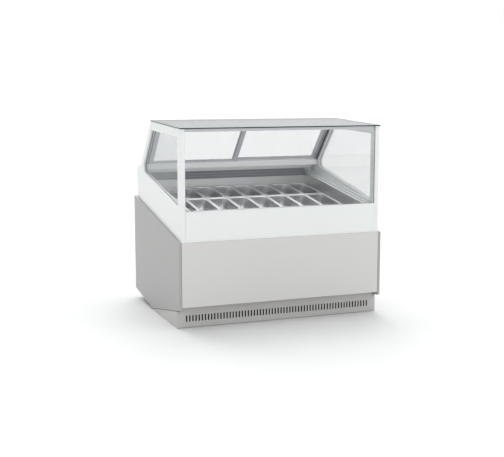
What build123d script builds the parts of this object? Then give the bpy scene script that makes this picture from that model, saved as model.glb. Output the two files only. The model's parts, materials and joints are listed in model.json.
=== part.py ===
from build123d import *
import os
from math import atan2, cos, radians, sin, tan

# Ice cream dipping cabinet: a glazed display top over sixteen pans, with two sliding doors at the back.
# Units are millimetres. The origin is on the floor under the middle of the cabinet. +Z is up, +X is to
# the right as the customer sees it, and +Y runs from the customer's side to the server's side.
# Every "depth" below is counted from the front face of the cabinet towards the server.

# ---- Overall size -------------------------------------------------------------------------------
WIDTH = 1560.0
DEPTH = 1215.0
HEIGHT = 1433.0
TOP_RISE = 30.0
HALF = WIDTH / 2

# ---- Grey boards round the lower body -----------------------------------------------------------
BOARD = 18.0
FRONT_BOARD = 9.0
BOARD_GAP = 2.0
PANEL_TOP_FRONT = 614.0
PANEL_TOP_BACK = 824.0
FRONT_PANEL_LOW = 160.0
SIDE_LOW_FRONT = 140.0
SIDE_LOWEST = 10.0
SIDE_LOWEST_DEPTH = 722.0
SIDE_LOW_BACK = 76.0
SIDE_INSET = 20.0

# ---- Plinth --------------------------------------------------------------------------------------
SHEET = 1.5
PLINTH_SETBACK = 70.0
PLINTH_HALF = HALF - 2.0
PLINTH_LOW = 3.0
PLINTH_HIGH = 186.0
PLINTH_END_DEPTH = 700.0
SLOT_COUNT = 62
SLOT_PITCH = 23.2
SLOT_WIDTH = 10.0
SLOT_LOW = 43.0
SLOT_HIGH = 90.0

# ---- White upper body ----------------------------------------------------------------------------
SHELL_HALF = HALF - SIDE_INSET
SHELL_FRONT = 10.0
SHELL_BACK = 1184.0
FRAME_THICK = 33.0
FRAME_IN = SHELL_HALF - FRAME_THICK
POST_DEPTH = 80.0
RAIL_LOW = 1339.0
RAIL_SLOPE = 0.03
APRON_TOP = 829.0
SHELL_OVERLAP = 42.0
SILL_FRONT_Z = 851.0
SILL_SLOPE = 0.2
TOP_BACK_DEPTH = 764.0
LEDGE_DEPTH = 1076.0
LEDGE_Z = 1073.0
LEDGE_DROP = 15.0
REAR_POST = 58.0
OPENING_RADIUS = 14.0
LOW_BACK_RADIUS = 45.0

# ---- Glass ---------------------------------------------------------------------------------------
GLASS = 6.0
TOP_GLASS = 8.0
TOP_GLASS_HALF = 764.0
TOP_GLASS_BACK = 756.0
GROOVE_CLEAR = 0.2
GROOVE_DEPTH = 8.0
SIDE_GLASS_INSET = 12.0

# The frame's top climbs towards the server with the top glass, just under it.
TOP_SLOPE = TOP_RISE / TOP_GLASS_BACK
FRONT_TOP = HEIGHT - TOP_RISE - TOP_GLASS - 0.5
FRAME_TOP = FRONT_TOP + TOP_SLOPE * TOP_BACK_DEPTH

# ---- Rear sliding doors, set in the inclined back ------------------------------------------------
DOOR_THICK = 8.0
DOOR_STILE = 34.0
DOOR_SIDE_STILE = 50.0
DOOR_TOP_RAIL = 30.0
DOOR_BOTTOM_RAIL = 34.0
DOOR_OVERLAP = 40.0
GRIP_LENGTH = 110.0
GRIP_WIDTH = 18.0
GRIP_DEPTH = 4.0
TRACK_OUTER = -13.0
TRACK_INNER = -27.0
TRACK_CLEAR = 1.0
DOOR_TOP = 34.0
DOOR_BOTTOM = 436.0
BEAM_EDGE = 48.0
SILL_EDGE = 423.0
TRACK_WALL = -40.0

# ---- Pans and their deck -------------------------------------------------------------------------
PAN_PITCH = 165.0
PAN_COLUMNS = 8
PAN_ROW = 370.0
PAN_WIDTH = 162.0
PAN_LENGTH = 360.0
PAN_BODY_WIDTH = 142.0
PAN_BODY_LENGTH = 330.0
PAN_DEPTH = 120.0
PAN_WALL = 1.2
PAN_TAPER = 3.0
PAN_CORNER = 34.0
PAN_FLOOR_RADIUS = 12.0
PAN_BEAD = 3.0
DECK_DEPTH = 759.0
DECK_Z = 829.0
DECK_TILT = 8.0
DECK_BAR = 14.0
DECK_END_BAR = 12.0
DECK_BAR_HEIGHT = 14.0
DUCT_LENGTH = 285.0
DUCT_OUTLETS = 40

# ---- Insulated well ------------------------------------------------------------------------------
WELL_HALF = 668.0
WELL_FRONT = 96.0
WELL_BACK = 1128.0
WELL_LOW = 470.0
LINER = 1.5
FOAM_FRONT = 62.0
FOAM_BACK = SHELL_BACK - 10.0
FOAM_LOW = 412.0
STEEL_TOP_BACK = 943.0
GRILLE_TOP = 1008.0
RIM_DROP = 44.0
RIM_STEPS = 3
RIM_STEP_DROP = 12.0
RIM_START = 2.0
DRAIN_X = 0.0
DRAIN_DEPTH = 960.0
DRAIN_RADIUS = 12.0
SUCTION_X = -560.0
SUCTION_DEPTH = 930.0
SUCTION_RADIUS = 7.0

# ---- Louvres of the service grille ---------------------------------------------------------------
LOUVRE_ROWS = 9
LOUVRE_COLUMNS = 4
LOUVRE_LOW = 205.0
LOUVRE_PITCH = 34.0
LOUVRE_FIRST = -505.0
LOUVRE_SPACING = 260.0
LOUVRE_LENGTH = 230.0
SERVICE_HALF = 535.0
SERVICE_LOW = 175.0
SERVICE_HIGH = 535.0

# ---- Machinery bay -------------------------------------------------------------------------------
TUBE = 30.0
TUBE_WALL = 2.0
BASE_LOW = 74.0
PIPE_BEND = 30.0
FOOT_RADIUS = 25.0
FOOT_PLACES = [(-685.0, 105.0), (685.0, 105.0), (-600.0, DEPTH - 65), (600.0, DEPTH - 65)]
FAN_X = 250.0
FAN_Z = 252.0
FAN_RADIUS = 118.0
FAN_DEPTH = 372.0
EVAP_FAN_X = 0.0
EVAP_FAN_RADIUS = 78.0
EVAP_FAN_DEPTH = 860.0
EVAP_FAN_Z = 572.0

# ---- Controls and service parts ------------------------------------------------------------------
CONTROL_X = 510.0
CONTROL_Z = 905.0
SWITCH_X = (CONTROL_X + 62, CONTROL_X + 90)
SWITCH_WIDTH = 20.0
SWITCH_HEIGHT = 30.0
KEY_X = (CONTROL_X + 2, CONTROL_X + 20, CONTROL_X + 38)
KEY_RADIUS = 6.0
DRAWER_HALF = 180.0
DRAWER_LOW = 100.0
DRAWER_HIGH = 160.0
GLAND_X = 640.0
GLAND_Z = 130.0
GLAND_THREAD = 10.0
GLAND_BORE = 5.0

SLANT = atan2(FRAME_TOP - LEDGE_Z, LEDGE_DEPTH - TOP_BACK_DEPTH)

# Local frame of the inclined back: x to the right, y down the slope, z outwards.
REAR = Plane(
    origin=(0, TOP_BACK_DEPTH - DEPTH / 2, FRAME_TOP),
    x_dir=(1, 0, 0),
    z_dir=(0, sin(SLANT), cos(SLANT)),
).location
# Local frame of the pan deck: x to the right, y up the slope to the server, z out of the deck.
DECK = Location((0, DECK_DEPTH - DEPTH / 2, DECK_Z), (DECK_TILT, 0, 0))

PARTS = {}


def block(x0, x1, d0, d1, z0, z1):
    """Rectangular block between the given limits, with its depths counted from the front face."""
    middle = Pos((x0 + x1) / 2, (d0 + d1) / 2 - DEPTH / 2, (z0 + z1) / 2)
    return middle * Box(x1 - x0, d1 - d0, z1 - z0)


def slab(outline, x0, x1):
    """Plate cut to an outline of (depth, height) points, from x0 to x1."""
    points = [(depth - DEPTH / 2, height) for depth, height in outline]
    face = Plane.YZ.offset(x0) * Polygon(*points, align=None)
    return extrude(face, amount=x1 - x0, dir=(1, 0, 0))


def local_block(frame, x0, x1, y0, y1, z0, z1):
    """Rectangular block between limits given in a tilted local frame."""
    return frame * Pos((x0 + x1) / 2, (y0 + y1) / 2, (z0 + z1) / 2) * Box(x1 - x0, y1 - y0, z1 - z0)


def rod(start, end, radius):
    """Round bar from one point to another, each given as (x, depth, z)."""
    a = Vector(start[0], start[1] - DEPTH / 2, start[2])
    b = Vector(end[0], end[1] - DEPTH / 2, end[2])
    return extrude(Plane(origin=a, z_dir=(b - a)) * Circle(radius), amount=(b - a).length)


def mirrored(shape):
    """The same shape on the other side of the cabinet."""
    return mirror(shape, about=Plane.YZ)


def rear_point(down, out):
    """Depth and height of a point given down the inclined back and out of it."""
    depth = TOP_BACK_DEPTH + down * cos(SLANT) + out * sin(SLANT)
    height = FRAME_TOP - down * sin(SLANT) + out * cos(SLANT)
    return depth, height


def sill_z(depth):
    """Height of the side glass's lower edge at a depth."""
    return SILL_FRONT_Z + SILL_SLOPE * (depth - POST_DEPTH)


def rail_z(depth):
    """Height of the side glass's upper edge at a depth."""
    return RAIL_LOW + RAIL_SLOPE * (depth - POST_DEPTH)


def trim_z(depth):
    """Height of the rim trims' reference line at a depth; it runs in line with the pans."""
    return SILL_FRONT_Z + tan(radians(DECK_TILT)) * (depth - POST_DEPTH)


def frame_top(depth):
    """Height of the white frame's sloping top at a depth."""
    return FRONT_TOP + TOP_SLOPE * depth


def panel_top(depth):
    """Height of the grey side panel's top edge at a depth."""
    return PANEL_TOP_FRONT + (PANEL_TOP_BACK - PANEL_TOP_FRONT) * depth / DEPTH


def panel_low(depth):
    """Height of the grey side panel's lower edge ahead of its lowest point."""
    return SIDE_LOW_FRONT + (SIDE_LOWEST - SIDE_LOW_FRONT) * depth / SIDE_LOWEST_DEPTH


# ---- Lower body ----------------------------------------------------------------------------------
def side_panel():
    outline = [
        (0, SIDE_LOW_FRONT),
        (SIDE_LOWEST_DEPTH, SIDE_LOWEST),
        (DEPTH, SIDE_LOW_BACK),
        (DEPTH, PANEL_TOP_BACK),
        (0, PANEL_TOP_FRONT),
    ]
    board = slab(outline, HALF - BOARD, HALF)
    return chamfer(board.edges().filter_by(Axis.X, reverse=True), 1.0)


def front_panel():
    edge = HALF - BOARD - BOARD_GAP
    board = block(-edge, edge, 0.5, 0.5 + FRONT_BOARD, FRONT_PANEL_LOW, PANEL_TOP_FRONT)
    return chamfer(board.faces().sort_by(Axis.Y)[0].edges(), 1.0)


def plinth_front():
    front = PLINTH_SETBACK
    inside = SHELL_HALF - 2
    shoulder = PLINTH_HIGH - 66
    face = block(-PLINTH_HALF, PLINTH_HALF, front, front + SHEET, PLINTH_LOW, shoulder)
    upper = block(-inside, inside, front, front + SHEET, shoulder - 1, PLINTH_HIGH)
    fold = block(-inside, inside, front, front + 22, PLINTH_HIGH - SHEET, PLINTH_HIGH)
    first = -(SLOT_COUNT - 1) * SLOT_PITCH / 2
    middle = front + SHEET / 2 - DEPTH / 2
    slot = Plane.XZ * SlotCenterToCenter(SLOT_HIGH - SLOT_LOW - SLOT_WIDTH, SLOT_WIDTH, rotation=90)
    places = [
        Pos(first + i * SLOT_PITCH, middle + 5, (SLOT_LOW + SLOT_HIGH) / 2) for i in range(SLOT_COUNT)
    ]
    cutters = [place * extrude(slot, amount=10) for place in places]
    return (face + upper + fold) - cutters


def plinth_returns():
    """Side sheets of the plinth, following the side panels' lower edges."""
    front = PLINTH_SETBACK + SHEET + 0.5
    outline = [
        (front, PLINTH_LOW),
        (PLINTH_END_DEPTH, PLINTH_LOW),
        (PLINTH_END_DEPTH, panel_low(PLINTH_END_DEPTH) - 3),
        (front, panel_low(front) - 3),
    ]
    sheet = slab(outline, PLINTH_HALF - 2, PLINTH_HALF)
    flange = block(PLINTH_HALF - 40, PLINTH_HALF - 1, front, PLINTH_END_DEPTH, PLINTH_LOW, PLINTH_LOW + 2)
    right = sheet + flange
    return Compound(children=[right, mirrored(right)])


def rear_panel():
    edge = HALF - BOARD - BOARD_GAP
    board = block(-edge, edge, DEPTH - 14, DEPTH - 2, SIDE_LOW_BACK + 3, PANEL_TOP_BACK - 4)
    lap = 15
    grille_edge = SERVICE_HALF - lap
    grille_hole = block(-grille_edge, grille_edge, DEPTH - 20, DEPTH, SERVICE_LOW + lap, SERVICE_HIGH - lap)
    drawer_edge = DRAWER_HALF + 3
    drawer_hole = block(-drawer_edge, drawer_edge, DEPTH - 20, DEPTH, DRAWER_LOW - 4, DRAWER_HIGH + 4)
    gland_hole = rod((GLAND_X, DEPTH - 20, GLAND_Z), (GLAND_X, DEPTH, GLAND_Z), GLAND_THREAD + 0.2)
    return board - grille_hole - drawer_hole - gland_hole


def service_grille():
    """Removable louvred plate: rows of slots, each under a hood pressed inwards."""
    plate = block(-SERVICE_HALF, SERVICE_HALF, DEPTH - 2, DEPTH - 0.5, SERVICE_LOW, SERVICE_HIGH)
    hoods = []
    for row in range(LOUVRE_ROWS):
        z = LOUVRE_LOW + row * LOUVRE_PITCH
        hood = [
            (DEPTH - 2, z + 12),
            (DEPTH - 10, z - 2),
            (DEPTH - 11, z - 1),
            (DEPTH - 3.2, z + 13),
            (DEPTH - 2, z + 13),
        ]
        for column in range(LOUVRE_COLUMNS):
            x = LOUVRE_FIRST + column * LOUVRE_SPACING
            plate = plate - block(x, x + LOUVRE_LENGTH, DEPTH - 5, DEPTH, z, z + 12)
            hoods.append(slab(hood, x, x + LOUVRE_LENGTH))
    return plate + hoods


def rear_upper_panel():
    edge = FRAME_IN - 2
    high = LEDGE_Z - LEDGE_DROP - 30
    panel = block(-edge, edge, SHELL_BACK - 6, SHELL_BACK - 4, PANEL_TOP_BACK - 60, high)
    left = CONTROL_X - 108
    right = CONTROL_X + 108
    return panel - block(left, right, SHELL_BACK - 10, SHELL_BACK, CONTROL_Z - 33, CONTROL_Z + 33)


# ---- White upper body ----------------------------------------------------------------------------
def opening_face(grow, x):
    """Outline of the side glass opening, moved outwards by grow, in the plane at x."""
    start_depth, start_z = rear_point(0, -REAR_POST)
    low_fall = (start_z - sill_z(start_depth)) / (sin(SLANT) + SILL_SLOPE * cos(SLANT))
    high_fall = (start_z - rail_z(start_depth)) / (sin(SLANT) + RAIL_SLOPE * cos(SLANT))
    low_back = rear_point(low_fall, -REAR_POST)
    high_back = rear_point(high_fall, -REAR_POST)
    corners = [(POST_DEPTH, SILL_FRONT_Z), low_back, high_back, (POST_DEPTH, RAIL_LOW)]
    points = [(depth - DEPTH / 2, height) for depth, height in corners]
    face = Polygon(*points, align=None)
    if grow:
        face = offset(face, amount=grow, kind=Kind.INTERSECTION)
    face = fillet(face.vertices().sort_by(Axis.X)[-1], LOW_BACK_RADIUS)
    face = fillet(face.vertices().group_by(Axis.X)[0], OPENING_RADIUS)
    return Plane.YZ.offset(x) * face


def side_frame():
    bottom_front = PANEL_TOP_FRONT - SHELL_OVERLAP
    outline = [
        (SHELL_FRONT, bottom_front),
        (SHELL_BACK, panel_top(SHELL_BACK) - SHELL_OVERLAP),
        (SHELL_BACK, LEDGE_Z - LEDGE_DROP),
        (LEDGE_DEPTH, LEDGE_Z),
        (TOP_BACK_DEPTH, FRAME_TOP),
        (SHELL_FRONT, frame_top(SHELL_FRONT)),
    ]
    board = slab(outline, FRAME_IN, SHELL_HALF)
    board = fillet(board.edges().filter_by(Axis.Z).sort_by(Axis.Y)[0:2], 2.0)
    opening = extrude(opening_face(0, FRAME_IN - 5), amount=FRAME_THICK + 10, dir=(1, 0, 0))
    slot_x = FRAME_IN + SIDE_GLASS_INSET - GROOVE_CLEAR
    groove = extrude(opening_face(GROOVE_DEPTH, slot_x), amount=GLASS + 2 * GROOVE_CLEAR, dir=(1, 0, 0))
    return board - opening - groove


def side_glass():
    face = opening_face(GROOVE_DEPTH - 1, FRAME_IN + SIDE_GLASS_INSET)
    return extrude(face, amount=GLASS, dir=(1, 0, 0))


def front_apron():
    edge = FRAME_IN - 0.5
    sheet = block(-edge, edge, SHELL_FRONT, SHELL_FRONT + 2, PANEL_TOP_FRONT - SHELL_OVERLAP, APRON_TOP)
    top = block(-edge, edge, SHELL_FRONT, SHELL_FRONT + 50, APRON_TOP - 14, APRON_TOP - 10)
    lip = block(-edge, edge, SHELL_FRONT + 14, SHELL_FRONT + 18, APRON_TOP - 14, APRON_TOP)
    back = block(-edge, edge, SHELL_FRONT + 48, SHELL_FRONT + 50, APRON_TOP - 30, APRON_TOP - 10)
    return sheet + top + lip + back


def front_glass():
    edge = FRAME_IN - 1
    return block(-edge, edge, SHELL_FRONT + 4, SHELL_FRONT + 4 + GLASS, APRON_TOP - 9.5, FRONT_TOP)


def top_glass():
    outline = [
        (0, HEIGHT - TOP_RISE - TOP_GLASS),
        (TOP_GLASS_BACK, HEIGHT - TOP_GLASS),
        (TOP_GLASS_BACK, HEIGHT),
        (0, HEIGHT - TOP_RISE),
    ]
    pane = slab(outline, -TOP_GLASS_HALF, TOP_GLASS_HALF)
    pane = fillet(pane.edges().filter_by(Axis.Z), 4.0)
    return chamfer(pane.edges().filter_by(Axis.Z, reverse=True), 0.8)


def lamp_profile():
    edge = FRAME_IN - 1
    top = FRONT_TOP
    outer = block(-edge, edge, SHELL_FRONT + 12, SHELL_FRONT + 44, top - 20, top)
    inner = block(-edge - 1, edge + 1, SHELL_FRONT + 15, SHELL_FRONT + 41, top - 21, top - 4)
    return outer - inner


def lamp_diffuser():
    edge = FRAME_IN - 3
    strip = block(-edge, edge, SHELL_FRONT + 15.5, SHELL_FRONT + 40.5, FRONT_TOP - 18, FRONT_TOP - 12)
    return fillet(strip.edges().filter_by(Axis.X).sort_by(Axis.Z)[0:2], 2.5)


def door_grooves(down0, down1):
    """Cutters for the two door grooves, between two places down the slope."""
    half = DOOR_THICK / 2 + TRACK_CLEAR
    return [
        local_block(REAR, -HALF, HALF, down0, down1, out - half, out + half)
        for out in (TRACK_OUTER, TRACK_INNER)
    ]


def top_rear_beam():
    edge = FRAME_IN - 0.5
    outline = [
        (TOP_BACK_DEPTH - 62, frame_top(TOP_BACK_DEPTH - 62)),
        rear_point(0, 0),
        rear_point(BEAM_EDGE, 0),
        rear_point(BEAM_EDGE, TRACK_WALL),
        (TOP_BACK_DEPTH - 62, FRAME_TOP - 42),
    ]
    return slab(outline, -edge, edge) - door_grooves(DOOR_TOP - 2, BEAM_EDGE + 5)


def rear_sill():
    edge = FRAME_IN - 0.5
    inner_edge = rear_point(SILL_EDGE, TRACK_WALL)
    outline = [
        rear_point(SILL_EDGE, 0),
        (LEDGE_DEPTH, LEDGE_Z),
        (SHELL_BACK, LEDGE_Z - LEDGE_DROP),
        (SHELL_BACK, LEDGE_Z - LEDGE_DROP - 18),
        (WELL_BACK + 8, LEDGE_Z - LEDGE_DROP - 18),
        (WELL_BACK + 8, GRILLE_TOP + 1),
        (WELL_BACK - 9, GRILLE_TOP + 1),
        (WELL_BACK - 9, GRILLE_TOP + 18),
        (WELL_BACK - 24, GRILLE_TOP + 18),
        (WELL_BACK - 24, GRILLE_TOP + 34),
        (inner_edge[0], GRILLE_TOP + 34),
        inner_edge,
    ]
    return slab(outline, -edge, edge) - door_grooves(SILL_EDGE - 5, DOOR_BOTTOM + 2)


# ---- Sliding doors -------------------------------------------------------------------------------
def door_limits(side):
    """Left and right edges of a door; side is -1 for the left door and 1 for the right door."""
    far = side * (FRAME_IN - 2)
    near = -side * DOOR_OVERLAP / 2
    return min(far, near), max(far, near)


def door_opening(side, lap):
    """Limits of a door's pane opening in the local frame, made larger by the lap on each side."""
    x0, x1 = door_limits(side)
    left = DOOR_SIDE_STILE if side < 0 else DOOR_STILE
    right = DOOR_STILE if side < 0 else DOOR_SIDE_STILE
    down0 = DOOR_TOP + DOOR_TOP_RAIL - lap
    down1 = DOOR_BOTTOM - DOOR_BOTTOM_RAIL + lap
    return x0 + left - lap, x1 - right + lap, down0, down1


def door_frame(side, out):
    x0, x1 = door_limits(side)
    half = DOOR_THICK / 2
    outer = local_block(REAR, x0, x1, DOOR_TOP, DOOR_BOTTOM, out - half, out + half)
    hole = local_block(REAR, *door_opening(side, 0), out - half - 1, out + half + 1)
    groove = local_block(REAR, *door_opening(side, 8), out - 2.1, out + 2.1)
    grip_x = side * (FRAME_IN - 2 - DOOR_SIDE_STILE / 2)
    middle = (DOOR_TOP + DOOR_BOTTOM) / 2
    grip = SlotCenterToCenter(GRIP_LENGTH - GRIP_WIDTH, GRIP_WIDTH, rotation=90)
    recess = extrude(REAR * Pos(grip_x, middle, out + half - GRIP_DEPTH) * grip, amount=GRIP_DEPTH + 1)
    return outer - hole - groove - recess


def door_glass(side, out):
    return local_block(REAR, *door_opening(side, 7), out - 2, out + 2)


# ---- Well ----------------------------------------------------------------------------------------
def drain_hole(clearance):
    """Cutter for the drain, larger than its spout by the clearance."""
    radius = DRAIN_RADIUS + clearance
    return rod((DRAIN_X, DRAIN_DEPTH, FOAM_LOW - 20), (DRAIN_X, DRAIN_DEPTH, WELL_LOW + 20), radius)


def pipe_hole(clearance):
    """Cutter for the suction pipe where it enters the well."""
    radius = SUCTION_RADIUS + clearance
    return rod((SUCTION_X, SUCTION_DEPTH, FOAM_LOW - 20), (SUCTION_X, SUCTION_DEPTH, WELL_LOW + 20), radius)


def well_liner():
    """Folded stainless tub with its drain spout."""
    low = WELL_LOW
    floor = block(-WELL_HALF, WELL_HALF, WELL_FRONT, WELL_BACK, low, low + LINER)
    front = block(-WELL_HALF, WELL_HALF, WELL_FRONT, WELL_FRONT + LINER, low, APRON_TOP - 40)
    back = block(-WELL_HALF, WELL_HALF, WELL_BACK - LINER, WELL_BACK, low, STEEL_TOP_BACK)
    under_trim = RIM_START + (RIM_STEPS - 1) * RIM_STEP_DROP + 2
    wall = [
        (WELL_FRONT, low),
        (WELL_BACK, low),
        (WELL_BACK, trim_z(WELL_BACK) - under_trim),
        (WELL_FRONT, trim_z(WELL_FRONT) - under_trim),
    ]
    right = slab(wall, WELL_HALF - LINER, WELL_HALF)
    spout = rod((DRAIN_X, DRAIN_DEPTH, FOAM_LOW - 12), (DRAIN_X, DRAIN_DEPTH, low + LINER), DRAIN_RADIUS)
    tub = floor + front + back + right + mirrored(right) + spout
    return tub - drain_hole(-LINER) - pipe_hole(0.5)


def insulation():
    gap = 0.5
    outer = FRAME_IN - 1
    inner = WELL_HALF + gap
    low = WELL_LOW + gap
    step = CONTROL_Z - 43
    foot = block(-outer, outer, FOAM_FRONT, FOAM_BACK, FOAM_LOW, WELL_LOW - gap)
    foot = foot - drain_hole(1) - pipe_hole(1)
    front = block(-outer, outer, FOAM_FRONT, WELL_FRONT - gap, low, APRON_TOP - 42)
    back = block(-outer, outer, WELL_BACK + gap, FOAM_BACK, low, step)
    back = back + block(-outer, outer, WELL_BACK + gap, SHELL_BACK - 48, step, STEEL_TOP_BACK)
    wall = [
        (WELL_FRONT + gap, low),
        (WELL_BACK - gap, low),
        (WELL_BACK - gap, trim_z(WELL_BACK) - RIM_DROP - 14),
        (WELL_FRONT + gap, trim_z(WELL_FRONT) - RIM_DROP - 14),
    ]
    right = slab(wall, inner, outer)
    return Compound(children=[foot, front, back, right, mirrored(right)])


def rim_trim():
    """Stepped trim between the side glass and the top of the well's side wall."""
    outer = FRAME_IN - 1
    step = (outer - WELL_HALF - 0.3) / RIM_STEPS
    front = SHELL_FRONT + 52
    back = WELL_BACK
    trim = None
    for i in range(RIM_STEPS):
        x1 = outer - i * step
        x0 = x1 - step - (0 if i == RIM_STEPS - 1 else 2)
        drop = RIM_START + i * RIM_STEP_DROP
        outline = [
            (front, trim_z(front) - RIM_DROP),
            (back, trim_z(back) - RIM_DROP),
            (back, trim_z(back) - drop),
            (front, trim_z(front) - drop),
        ]
        piece = slab(outline, x0, x1)
        trim = piece if trim is None else trim + piece
    return trim


def return_grille():
    """Dark air return above the steel back wall, with two ribs along it."""
    back = WELL_BACK - 2
    low = STEEL_TOP_BACK + 2
    high = GRILLE_TOP
    edge = WELL_HALF - 4
    plate = block(-edge, edge, back - 2, back, low, high)
    ribs = []
    for third in (1, 2):
        z = low + third * (high - low) / 3
        ribs.append(block(-edge, edge, back - 7, back - 1.9, z - 4, z + 4))
    return plate + ribs


def front_deck():
    """Cover of the front air duct, sloping in line with the pans, with its row of air outlets."""
    edge = WELL_HALF - 3
    y0 = -PAN_ROW - DUCT_LENGTH
    plate = local_block(DECK, -edge, edge, y0, -PAN_ROW - 8, -2, -0.5)
    fold = local_block(DECK, -edge, edge, y0, y0 + 1.5, -0.5, 28)
    cutters = []
    pitch = 2 * edge / DUCT_OUTLETS
    for i in range(DUCT_OUTLETS):
        x = -edge + (i + 0.5) * pitch
        cutters.append(local_block(DECK, x - 12, x + 12, y0 + 12, y0 + 42, -5, 5))
    return plate + fold - cutters


def deck_frame():
    """Welded grid of bars that the pans hang in."""
    edge = WELL_HALF - 3
    end = PAN_ROW - 1.5
    top = -0.1
    low = top - DECK_BAR_HEIGHT
    grid = local_block(DECK, -edge, edge, -DECK_BAR / 2, DECK_BAR / 2, low, top)
    grid = grid + local_block(DECK, -edge, edge, end - DECK_END_BAR, end, low, top)
    grid = grid + local_block(DECK, -edge, edge, -end, DECK_END_BAR - end, low, top)
    half_columns = PAN_COLUMNS // 2
    for i in range(-half_columns, half_columns + 1):
        x0 = max(i * PAN_PITCH - DECK_BAR / 2, -edge)
        x1 = min(i * PAN_PITCH + DECK_BAR / 2, edge)
        grid = grid + local_block(DECK, x0, x1, -end, end, low, top)
    return grid


def pan_shape():
    """One pan about the middle of its rim, with its rim's underside at z = 0."""
    outer_face = RectangleRounded(PAN_BODY_WIDTH, PAN_BODY_LENGTH, PAN_CORNER)
    inner_face = RectangleRounded(
        PAN_BODY_WIDTH - 2 * PAN_WALL, PAN_BODY_LENGTH - 2 * PAN_WALL, PAN_CORNER - PAN_WALL
    )
    outer = extrude(outer_face, amount=-PAN_DEPTH, taper=PAN_TAPER)
    outer = fillet(outer.faces().sort_by(Axis.Z)[0].edges(), PAN_FLOOR_RADIUS)
    inner = extrude(inner_face, amount=-(PAN_DEPTH - PAN_WALL), taper=PAN_TAPER)
    inner = fillet(inner.faces().sort_by(Axis.Z)[0].edges(), PAN_FLOOR_RADIUS - PAN_WALL)
    rim = extrude(RectangleRounded(PAN_WIDTH, PAN_LENGTH, 6), amount=PAN_WALL)
    bead_in = RectangleRounded(PAN_WIDTH - 2 * PAN_BEAD, PAN_LENGTH - 2 * PAN_BEAD, 4)
    bead = extrude(RectangleRounded(PAN_WIDTH, PAN_LENGTH, 6) - bead_in, amount=PAN_BEAD)
    mouth = extrude(inner_face, amount=PAN_WALL * 3)
    return outer + rim + bead - inner - mouth


# ---- Machinery -----------------------------------------------------------------------------------
def square_tube(x0, x1, d0, d1, z0, z1):
    """Hollow square tube filling the given limits, open at both ends of its longest side."""
    w = TUBE_WALL
    spans = [x1 - x0, d1 - d0, z1 - z0]
    longest = spans.index(max(spans))
    inset = [w, w, w]
    inset[longest] = -1
    outer = block(x0, x1, d0, d1, z0, z1)
    return outer - block(
        x0 + inset[0], x1 - inset[0], d0 + inset[1], d1 - inset[1], z0 + inset[2], z1 - inset[2]
    )


def base_frame():
    """Welded tube frame: two long rails, three cross rails and four uprights under the tub."""
    low = BASE_LOW
    high = BASE_LOW + TUBE
    front = PLINTH_SETBACK + 24
    back = DEPTH - 50
    side = 700.0
    pieces = []
    for depth in (front, back - TUBE):
        pieces.append(square_tube(-side, side, depth, depth + TUBE, low, high))
    for x in (-side, -TUBE / 2, side - TUBE):
        pieces.append(square_tube(x, x + TUBE, front + TUBE, back - TUBE, low, high))
    for x in (-side, side - TUBE):
        for depth in (front, back - TUBE):
            pieces.append(square_tube(x, x + TUBE, depth, depth + TUBE, high, FOAM_LOW - 0.5))
    frame = pieces[0]
    for piece in pieces[1:]:
        frame = frame + piece
    runner_top = DRAWER_LOW + 5.7
    for side in (-1, 1):
        inner = side * (DRAWER_HALF - 16)
        outer = side * (DRAWER_HALF + 12)
        left = min(inner, outer)
        right = max(inner, outer)
        frame = frame + block(left, right, DEPTH - 340, back - 1, runner_top - 1.7, runner_top)
    return frame


def feet():
    solids = []
    for x, depth in FOOT_PLACES:
        pad = Pos(x, depth - DEPTH / 2, 5) * Cylinder(FOOT_RADIUS, 10)
        pad = chamfer(pad.faces().sort_by(Axis.Z)[-1].edges(), 2)
        stem = rod((x, depth, 9), (x, depth, BASE_LOW - 0.2), 6)
        nut = Pos(x, depth - DEPTH / 2, BASE_LOW - 9) * extrude(RegularPolygon(11, 6), amount=8.5)
        solids.append(pad + stem + nut)
    return Compound(children=solids)


def compressor():
    x = -330.0
    depth = 760.0
    middle = Pos(x, depth - DEPTH / 2, 0)
    base = middle * Pos(0, 0, BASE_LOW + TUBE + 4) * Box(260, 170, 6)
    body = middle * Pos(0, 0, BASE_LOW + TUBE + 109) * Cylinder(92, 206)
    body = fillet(body.edges(), 38)
    hollow = middle * Pos(0, 0, BASE_LOW + TUBE + 109) * Cylinder(78, 178)
    hollow = fillet(hollow.edges(), 30)
    band = middle * Pos(0, 0, BASE_LOW + TUBE + 110) * Cylinder(95, 10)
    box_x = x + 86
    terminal = block(box_x - 10, box_x + 40, depth - 35, depth + 35, 190, 270)
    return base + body + band + terminal - hollow


def condenser():
    """Finned coil standing across the bay behind the air slots."""
    x0, x1 = 60.0, 440.0
    d0, d1 = 260.0, 330.0
    z0, z1 = 112.0, 392.0
    core = block(x0, x1, d0, d1, z0, z1)
    fins = 30
    pitch = (x1 - x0 - 20) / fins
    cutters = []
    for i in range(fins):
        x = x0 + 10 + i * pitch + 1.5
        cutters.append(block(x, x + pitch - 3, d0 - 1, d1 + 1, z0 + 12, z1 - 12))
    shroud = block(x0, x1, d1 - 1, d1 + 102, z0, z1)
    shroud = shroud - block(x0 + 3, x1 - 3, d1 - 2, d1 + 103, z0 + 3, z1 - 3)
    return core - cutters + shroud


def fan_wheel(radius, hub, blades, width, shaft_length):
    """Axial fan about +Y, centred on its hub, with its shaft towards +Y."""
    hub_body = Rotation(90, 0, 0) * Cylinder(hub, width)
    wheel = hub_body
    reach = radius - hub + 4
    for i in range(blades):
        blade = Pos(hub - 4 + reach / 2, 0, 0) * Rotation(28, 0, 0) * Box(reach, 2.2, width * 1.5)
        wheel = wheel + Rotation(0, 360 / blades * i, 0) * blade
    trim = Rotation(90, 0, 0) * Cylinder(radius, width * 3)
    shaft = Pos(0, width / 2 + shaft_length / 2 - 1, 0) * Rotation(90, 0, 0) * Cylinder(4, shaft_length)
    return (wheel & trim) + shaft


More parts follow.
